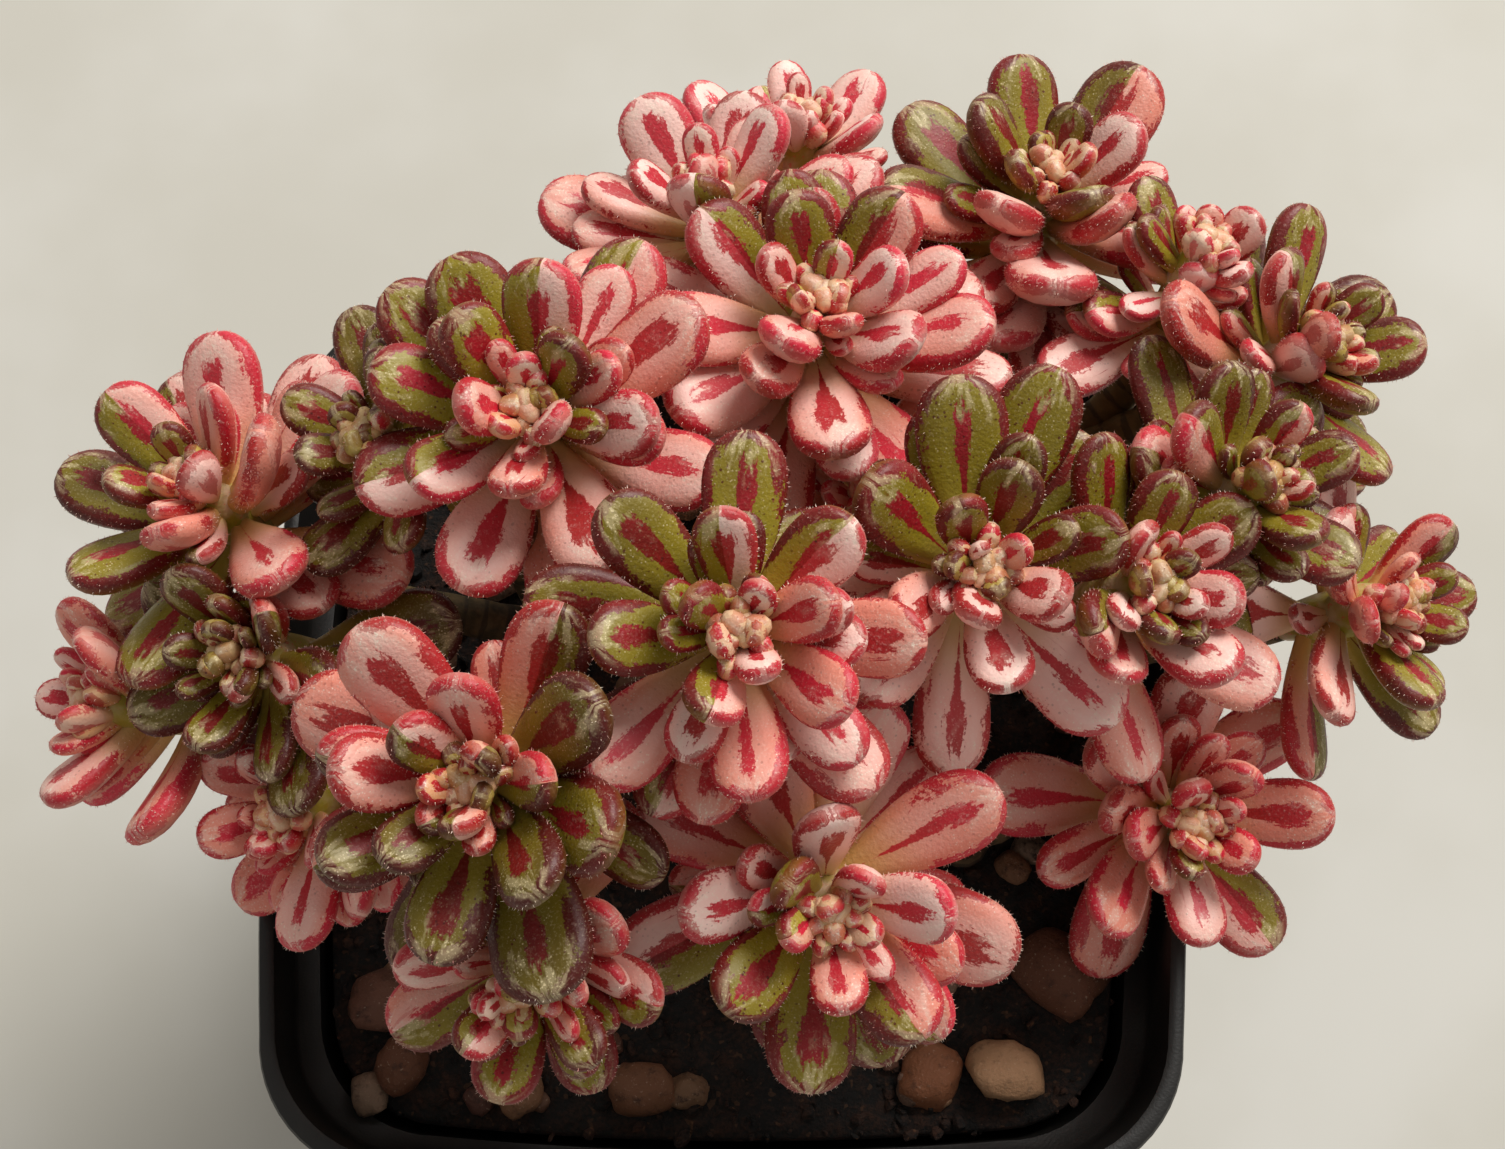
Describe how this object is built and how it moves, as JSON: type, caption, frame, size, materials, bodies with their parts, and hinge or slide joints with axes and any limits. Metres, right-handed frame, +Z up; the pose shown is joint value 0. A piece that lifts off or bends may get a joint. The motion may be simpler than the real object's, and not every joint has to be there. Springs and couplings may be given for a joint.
{
  "type": "potted aeonium",
  "caption": "Variegated succulent bush of fleshy leaf rosettes on forked stems, standing in gritty soil in a square black plastic nursery pot.",
  "frame": {"origin": "middle of the pot's underside", "axes": "+Z up, -Y towards the side that the picture was taken from, +X to the right seen from there"},
  "size_m": [0.1194, 0.0969, 0.1202],
  "materials": {
    "pot_plastic": "matt",
    "potting_soil": "rough and granular",
    "stem_bark": "rough bark",
    "green_leaves": "satin, fleshy, with dark red stripe and rim",
    "mixed_leaves": "satin, fleshy, green and pink sectors with crimson stripe and rim",
    "pink_leaves": "satin, fleshy, pink with crimson stripe and rim"
  },
  "bodies": {
    "root": {"head_back": "pink_leaves", "head_back_crown": "pink_leaves", "head_back_right": "pink_leaves", "head_far_back": "pink_leaves", "head_far_back_right": "mixed_leaves", "head_far_left": "pink_leaves", "head_far_right": "mixed_leaves", "head_front_crown": "mixed_leaves", "head_front_left": "mixed_leaves", "head_front_low": "mixed_leaves", "head_front_right": "mixed_leaves", "head_hollow": "pink_leaves", "head_inner_right": "mixed_leaves", "head_left": "mixed_leaves", "head_left_dark": "green_leaves", "head_low_left": "pink_leaves", "head_low_right": "pink_leaves", "head_middle_left": "mixed_leaves", "head_middle_right": "mixed_leaves", "head_right": "green_leaves", "head_right_back": "green_leaves", "head_small_left": "green_leaves", "pot": "pot_plastic", "soil": "potting_soil", "stem_back": "stem_bark", "stem_back_right": "stem_bark", "stem_centre": "stem_bark", "stem_front_left": "stem_bark", "stem_hollow": "stem_bark", "stem_left": "stem_bark", "stem_low_left": "stem_bark", "stem_low_right": "stem_bark", "stem_right": "stem_bark"}
  },
  "joints": []
}
